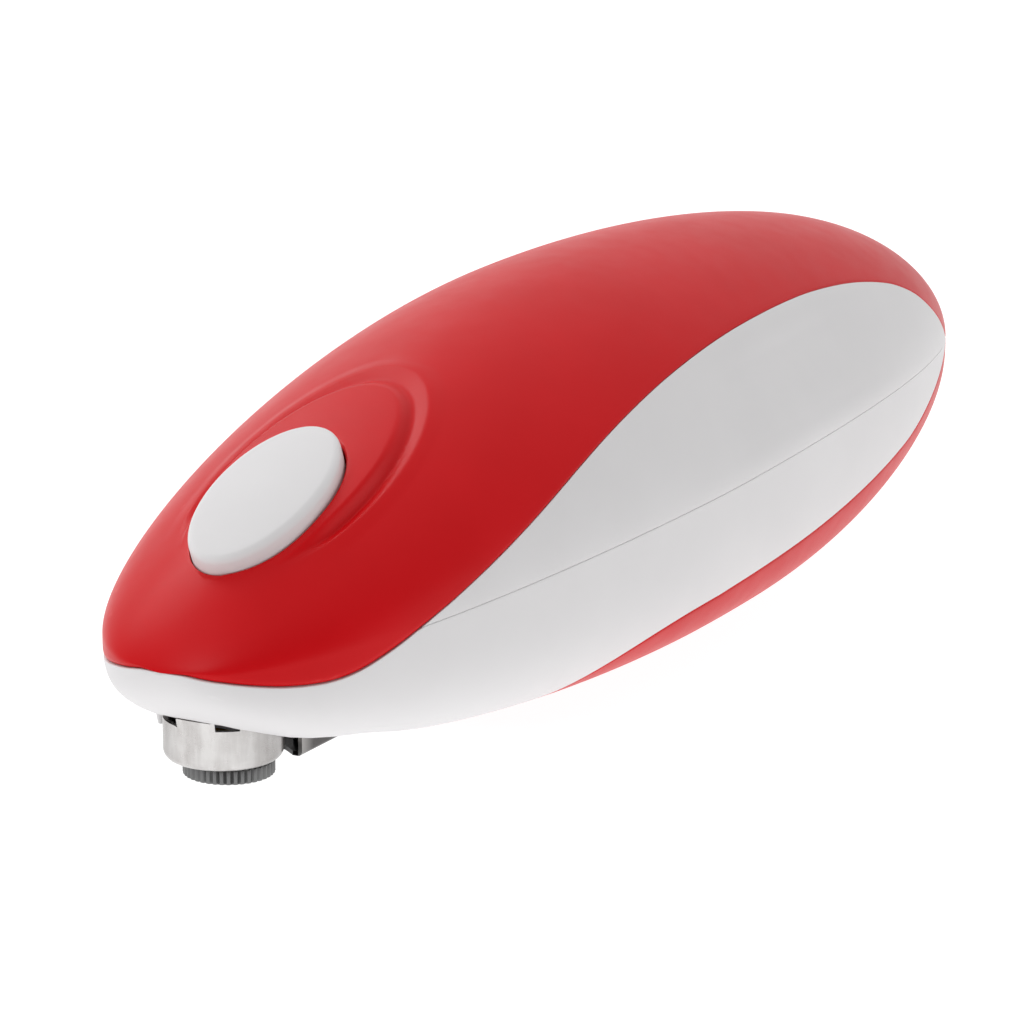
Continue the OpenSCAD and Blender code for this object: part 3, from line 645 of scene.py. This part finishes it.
channel = {"x0": 6.0, "x1": 28.0, "y0": -7.5, "y1": -0.7, "z0": 1.5, "z1": 9.1, "sheet": 0.6, "bend": 0.65,
           "drumGap": 1.2, "rows": 60}


def cutterChannel():
    # a C-shaped line of folded sheet, drawn back from the drum along a circle at its front end
    b = channel["bend"]
    arc = np.linspace(0, np.pi / 2, 8)
    y0, y1, z0, z1 = (channel[k] for k in ("y0", "y1", "z0", "z1"))

    def section(inset):
        r = b - inset
        low = np.stack([y0 + b - r * np.sin(arc), z0 + b - r * np.cos(arc)], -1)
        high = np.stack([y0 + b - r * np.cos(arc), z1 - b + r * np.sin(arc)], -1)
        wall = np.stack([np.full(9, y0 + inset), np.linspace(z0 + b, z1 - b, 11)[1:-1]], -1)
        flange = np.linspace(y1, y0 + b, 9)[:-1]
        under = np.stack([flange, np.full(8, z0 + inset)], -1)
        over = np.stack([flange[::-1], np.full(8, z1 - inset)], -1)
        return np.concatenate([under, low, wall, high, over])

    loop = np.concatenate([section(0.0), section(channel["sheet"])[::-1]])
    clear = drum["radius"] + channel["drumGap"]
    front = drum["at"][0] + np.sqrt(np.clip(clear ** 2 - (loop[:, 0] - drum["at"][1]) ** 2, 0, None))
    front = np.maximum(front, channel["x0"])
    share = np.linspace(0, 1, channel["rows"])[:, None]
    x = front + (channel["x1"] - front) * share
    points = np.stack([x, np.broadcast_to(loop[:, 0], x.shape), np.broadcast_to(loop[:, 1], x.shape)], -1)
    rows, cols = x.shape
    half = cols // 2
    faces = gridFaces(rows, cols, wrap=True)
    for start in (0, (rows - 1) * cols):
        near = start + np.arange(half)
        faces += stripFaces(near, start + cols - 1 - np.arange(half))
    return addMesh("folded_channel", points.reshape(-1, 3), faces, smoothAngle=30)


register(drumCup(), "housing", "drive_drum")
register(knurledWheel(), "drive", "drive_wheel")
register(cutterChannel(), "housing", "cutter_channel")
print("drive pieces done")

# materials


class Signal:
    # a socket that can be added, multiplied and so on; every sum is a Math node
    def __init__(self, tree, socket):
        self.tree, self.socket = tree, socket

    def mathNode(self, operation, first, second=None):
        made = self.tree.nodes.new("ShaderNodeMath")
        made.operation = operation
        for slot, value in zip(made.inputs, (first, second)):
            if isinstance(value, Signal):
                self.tree.links.new(value.socket, slot)
            elif value is not None:
                slot.default_value = value
        return Signal(self.tree, made.outputs[0])

    def __add__(self, other):
        return self.mathNode("ADD", self, other)

    __radd__ = __add__

    def __mul__(self, other):
        return self.mathNode("MULTIPLY", self, other)

    __rmul__ = __mul__

    def __sub__(self, other):
        return self.mathNode("SUBTRACT", self, other)

    def __rsub__(self, other):
        return self.mathNode("SUBTRACT", other, self)

    def limited(self):
        # kept between 0 and 1
        made = self.mathNode("ADD", self, 0.0)
        made.socket.node.use_clamp = True
        return made


class Finish:
    # one material with its main shader; node() adds any other node
    def __init__(self, name):
        self.material = bpy.data.materials.new(name)
        self.material.use_nodes = True
        self.tree = self.material.node_tree
        self.shader = self.tree.nodes["Principled BSDF"]

    def node(self, kind, settings=None, inputs=None, output=0):
        made = self.tree.nodes.new("ShaderNode" + kind)
        for key, value in (settings or {}).items():
            if key == "stops":
                ramp = made.color_ramp
                while len(ramp.elements) < len(value):
                    ramp.elements.new(0.5)
                for element, (place, colour) in zip(ramp.elements, value):
                    element.position, element.color = place, colour
            else:
                setattr(made, key, value)
        for key, value in (inputs or {}).items():
            if isinstance(value, Signal):
                self.tree.links.new(value.socket, made.inputs[key])
            else:
                made.inputs[key].default_value = value
        return Signal(self.tree, made.outputs[output])

    def place(self, scale=(1, 1, 1)):
        spot = self.node("TexCoord", output="Object")
        return self.node("Mapping", inputs={"Vector": spot, "Scale": scale})

    def noise(self, scale, detail=3.0, stretch=(1, 1, 1), roughness=0.5):
        return self.node("TexNoise", inputs={"Vector": self.place(stretch), "Scale": scale, "Detail": detail,
                                             "Roughness": roughness})

    def fade(self, value, low, high):
        return self.node("MapRange", inputs={"Value": value, "From Min": low, "From Max": high})

    def mix(self, factor, first, second):
        return self.node("Mix", {"data_type": "RGBA"}, {0: factor, 6: first, 7: second}, 2)

    def edges(self, low=0.52, high=0.60):
        return self.fade(self.node("NewGeometry", output="Pointiness"), low, high)

    def bump(self, height, distance, strength=1.0):
        return self.node("Bump", inputs={"Height": height, "Distance": distance, "Strength": strength})

    def set(self, **values):
        for key, value in values.items():
            slot = self.shader.inputs[key.replace("_", " ")]
            if isinstance(value, Signal):
                self.tree.links.new(value.socket, slot)
            else:
                slot.default_value = value
        return self.material


def colour(r, g, b):
    return (r, g, b, 1.0)


def mouldedPlastic(name, tone, lighter, worn, roughness, grain=0.00003, wearAmount=0.5, gloss=0.5):
    # moulded plastic: faint cloudiness, fine spark texture, lighter rubbed edges
    f = Finish(name)
    cloud = f.noise(60, 4)
    base = f.mix(f.fade(cloud, 0.3, 0.7), tone, lighter)
    rub = f.edges() * f.fade(f.noise(900, 3), 0.35, 0.65) * wearAmount
    fine = f.noise(5200, 3, roughness=0.6)
    f.set(Specular_IOR_Level=gloss)
    return f.set(
        Base_Color=f.mix(rub.limited(), base, worn),
        Roughness=(f.fade(f.noise(260, 4), 0.2, 0.8) * 0.07 + (roughness - 0.035) - rub * 0.1).limited(),
        Normal=f.bump(fine, grain, 0.35),
    )


def turnedMetal(name, tone, dark, roughness, stretch=(1, 1, 1), scratch=3500.0, depth=0.00001, dirt=0.35):
    # metal with fine directional scratches, stains and brighter worn edges
    f = Finish(name)
    lines = f.noise(scratch, 4, stretch, 0.65)
    stain = f.fade(f.noise(240, 5), 0.42, 0.75)
    rub = f.edges(0.51, 0.58)
    grime = (stain * dirt).limited()
    base = f.mix(grime, tone, dark)
    return f.set(
        Base_Color=f.mix((rub * 0.4).limited(), base, tone),
        Metallic=1.0,
        Roughness=(lines * 0.18 + stain * 0.08 + (roughness - 0.1)).limited(),
        Normal=f.bump(lines, depth, 0.5),
    )


def drumMetal():
    # deep-drawn steel: fine rings round the wall, short upright streaks, and painted shade that darkens its
    # left and right sides as the camera sees them
    f = Finish("deep drawn steel")
    spot = f.node("TexCoord", output="Object")
    x, y = (f.node("SeparateXYZ", inputs={"Vector": spot}, output=k) for k in (0, 1))
    across = x * 0.493 - y * 0.87
    # painted shade: a darker colour faded in towards the drum's left and right sides across the camera's view
    paintedSideShade = (f.fade(across, 0.0015, 0.0086) + f.fade(across, -0.0060, -0.0088) * 0.9).limited()
    rings = f.noise(700, 4, (1, 1, 7), 0.65)
    streaks = f.noise(520, 4, (1, 1, 0.12), 0.6)
    cloud = f.noise(240, 4)
    tone = f.mix(f.fade(streaks + (cloud - 0.5) * 0.8, 0.32, 0.68), colour(0.50, 0.48, 0.47),
                 colour(0.68, 0.665, 0.655))
    return f.set(
        # the dark colour here is the painted shade on the drum's sides
        Base_Color=f.mix(paintedSideShade * 0.75, tone, colour(0.20, 0.19, 0.185)),
        Metallic=1.0,
        Roughness=(rings * 0.16 + cloud * 0.10 + 0.16).limited(),
        Normal=f.bump(rings + streaks * 0.6, 0.00002, 0.5),
    )


def channelMetal():
    # rolled sheet, bright at its front end; painted shade darkens it further back and paints the inside of
    # its fold near black
    f = Finish("channel steel with painted shade")
    spot = f.node("TexCoord", output="Object")
    x, y = (f.node("SeparateXYZ", inputs={"Vector": spot}, output=k) for k in (0, 1))
    # painted shade: the inside of the fold, near black
    inside = f.fade(y, -0.00695, -0.00685)
    # painted shade: darker further back along the channel
    back = f.fade(x + f.noise(400, 3) * 0.0012, 0.0063, 0.0095)
    lines = f.noise(2500, 4, (0.15, 1, 1), 0.65)
    return f.set(
        # the two dark colours below are painted shade
        Base_Color=f.mix(inside, f.mix(back, colour(0.36, 0.35, 0.34), colour(0.085, 0.08, 0.079)),
                         colour(0.012, 0.011, 0.011)),
        Metallic=1.0,
        Roughness=(lines * 0.2 + 0.22).limited(),
        Normal=f.bump(lines, 0.00001, 0.5),
    )


finishes = {
    "redPlastic": mouldedPlastic("red satin plastic", colour(0.62, 0.003, 0.006), colour(0.66, 0.004, 0.008),
                                 colour(0.75, 0.05, 0.05), 0.36, wearAmount=0.35, gloss=0.13),
    "whitePlastic": mouldedPlastic("white satin plastic", colour(0.785, 0.772, 0.778),
                                   colour(0.81, 0.797, 0.803), colour(0.84, 0.83, 0.835), 0.50, gloss=0.10),
    "blackPlastic": mouldedPlastic("black moulded plastic", colour(0.006, 0.006, 0.0065),
                                   colour(0.010, 0.010, 0.011), colour(0.03, 0.03, 0.03), 0.6, gloss=0.04),
    "acetal": mouldedPlastic("natural acetal", colour(0.78, 0.75, 0.66), colour(0.84, 0.81, 0.72),
                             colour(0.9, 0.88, 0.8), 0.35),
    "circuitBoard": mouldedPlastic("green board", colour(0.01, 0.12, 0.05), colour(0.015, 0.16, 0.07),
                                   colour(0.5, 0.45, 0.2), 0.3),
    "cellJacket": mouldedPlastic("cell jacket", colour(0.02, 0.022, 0.03), colour(0.03, 0.032, 0.04),
                                 colour(0.3, 0.3, 0.3), 0.25),
    "wireCover": mouldedPlastic("wire sleeve", colour(0.45, 0.01, 0.01), colour(0.5, 0.015, 0.015),
                                colour(0.6, 0.1, 0.1), 0.35),
    "drumSteel": drumMetal(),
    "channelSteel": channelMetal(),
    "sheetSteel": turnedMetal("rolled sheet steel", colour(0.62, 0.61, 0.60), colour(0.35, 0.34, 0.33), 0.34,
                              (0.15, 1, 1)),
    "pinSteel": turnedMetal("ground steel", colour(0.66, 0.66, 0.66), colour(0.4, 0.4, 0.4), 0.25,
                            (1, 1, 0.2)),
    "darkSteel": turnedMetal("hardened dark steel", colour(0.19, 0.19, 0.19), colour(0.07, 0.07, 0.07), 0.42,
                             (1, 1, 0.3), 2500, 0.00003),
    "bladeSteel": turnedMetal("ground blade steel", colour(0.75, 0.75, 0.76), colour(0.5, 0.5, 0.5), 0.2),
    "brass": turnedMetal("machined brass", colour(0.72, 0.50, 0.20), colour(0.40, 0.26, 0.09), 0.3),
}

# which pieces wear which finish
wears = {
    "redPlastic": ["top_housing", "battery_lid"],
    "whitePlastic": ["side_panel_near", "side_panel_far", "base_housing", "button_cap", "drive_floor",
                     "cover_posts"],
    "blackPlastic": ["switch_body", "switch_bracket", "motor_end_cap", "cutter_block", "battery_tray"],
    "acetal": ["switch_plunger", "gear_one", "gear_two", "gear_three"],
    "circuitBoard": ["switch_board"],
    "cellJacket": ["battery_cells"],
    "wireCover": ["lead_wires"],
    "drumSteel": ["steel_drum"],
    "sheetSteel": ["gearbox_lower_plate", "gearbox_upper_plate", "motor_can"],
    "channelSteel": ["folded_channel"],
    "pinSteel": ["gear_axles", "drive_shaft", "arm_pivot_pin", "clamp_axle", "cutter_rivet", "channel_rivets",
                 "gearbox_screws", "wheel_screw", "housing_screws", "button_spring", "contact_springs"],
    "darkSteel": ["knurled_wheel", "cutter_arm"],
    "bladeSteel": ["cutter_disc"],
    "brass": ["motor_terminals", "motor_pinion", "final_gear", "arm_sector", "clamp_pinion", "gearbox_posts",
              "drive_bush", "contact_plates"],
}


for finish, pieces in wears.items():
    for name in pieces:
        materials = bpy.data.objects[name].data.materials
        materials.clear()
        materials.append(finishes[finish])
print("materials done")

# studio

studio = {"floor": -5.2, "floorHalf": 9000.0, "floorTone": 0.20, "floorGlow": 0.97,
          "worldLow": 0.28, "worldHigh": 0.92, "brightSide": (0.62, 0.60, 0.50), "fadeFrom": -0.2,
          "fadeTo": 0.95, "aim": (0.075, 0, 0.02)}


def studioFloor():
    # one large pale square that glows a little, so that the object's shadow stays soft
    half = studio["floorHalf"]
    grid = np.array([[-half, -half], [half, -half], [half, half], [-half, half]])
    floor = addMesh("studio_floor", np.c_[grid, np.full(4, studio["floor"])], [[0, 1, 2, 3]])
    f = Finish("pale floor")
    tone = studio["floorTone"]
    dapple = f.fade(f.noise(0.8, 2), 0.3, 0.7)
    floor.data.materials.append(f.set(
        Base_Color=f.mix(dapple, colour(tone, tone, tone), colour(tone * 0.99, tone * 0.99, tone * 0.99)),
        Roughness=0.8, Emission_Color=colour(1, 1, 1), Emission_Strength=studio["floorGlow"]))


studioFloor()


def studioWorld():
    # an even dome, brighter high up behind the object on its far side
    world = bpy.data.worlds.new("studio")
    bpy.context.scene.world = world
    world.use_nodes = True
    tree = world.node_tree
    direction = tree.nodes.new("ShaderNodeTexCoord")
    facing = tree.nodes.new("ShaderNodeVectorMath")
    facing.operation = "DOT_PRODUCT"
    facing.inputs[1].default_value = studio["brightSide"]
    tree.links.new(direction.outputs["Generated"], facing.inputs[0])
    ramp = tree.nodes.new("ShaderNodeMapRange")
    ramp.inputs["From Min"].default_value = studio["fadeFrom"]
    ramp.inputs["From Max"].default_value = studio["fadeTo"]
    ramp.inputs["To Min"].default_value = studio["worldLow"]
    ramp.inputs["To Max"].default_value = studio["worldHigh"]
    tree.links.new(facing.outputs["Value"], ramp.inputs["Value"])
    tree.nodes["Background"].inputs["Color"].default_value = colour(1, 1, 1)
    tree.links.new(ramp.outputs[0], tree.nodes["Background"].inputs["Strength"])


studioWorld()


def backwards(azimuth, elevation):
    # from the aim to a lamp or camera; azimuth 0 is the near side
    a, e = math.radians(azimuth), math.radians(elevation)
    return Vector((math.sin(a) * math.cos(e), -math.cos(a) * math.cos(e), math.sin(e)))


def aimed(name, data, location, back):
    # an object that looks against the direction back
    thing = bpy.data.objects.new(name, data)
    thing.location = location
    thing.rotation_mode = "QUATERNION"
    thing.rotation_quaternion = (-back).to_track_quat("-Z", "Y")
    bpy.context.scene.collection.objects.link(thing)
    return thing


def softLight(name, azimuth, elevation, distance, size, power):
    light = bpy.data.lights.new(name, "AREA")
    light.shape, light.size, light.energy = "SQUARE", size, power
    back = backwards(azimuth, elevation)
    aimed(name, light, Vector(studio["aim"]) + back * distance, back)


# azimuth, elevation, distance, size and power of each lamp
lamps = {
    "key over the far side": (158, 48, 1.2, 0.6, 3.6),
    "nose light": (-104, 52, 1.2, 0.5, 3.0),
    "side fill": (35, 2, 1.2, 0.8, 2.4),
}
for name, values in lamps.items():
    softLight(name, *values)

# camera

view = {"azimuth": -60.446, "elevation": 15.64, "distance": 864.96, "target": (74.717, 0.0, 16.871),
        "focal": 217.80, "sensor": 36.0, "clip": (0.05, 50.0)}


def addCamera():
    lens = bpy.data.cameras.new("camera")
    lens.lens, lens.sensor_width = view["focal"], view["sensor"]
    lens.clip_start, lens.clip_end = view["clip"]
    back = backwards(view["azimuth"], view["elevation"])
    place = (Vector(view["target"]) + back * view["distance"]) * mm
    bpy.context.scene.camera = aimed("camera", lens, place, back)


addCamera()
bpy.context.scene.view_settings.view_transform = "Standard"
print("studio done")

writeSize()
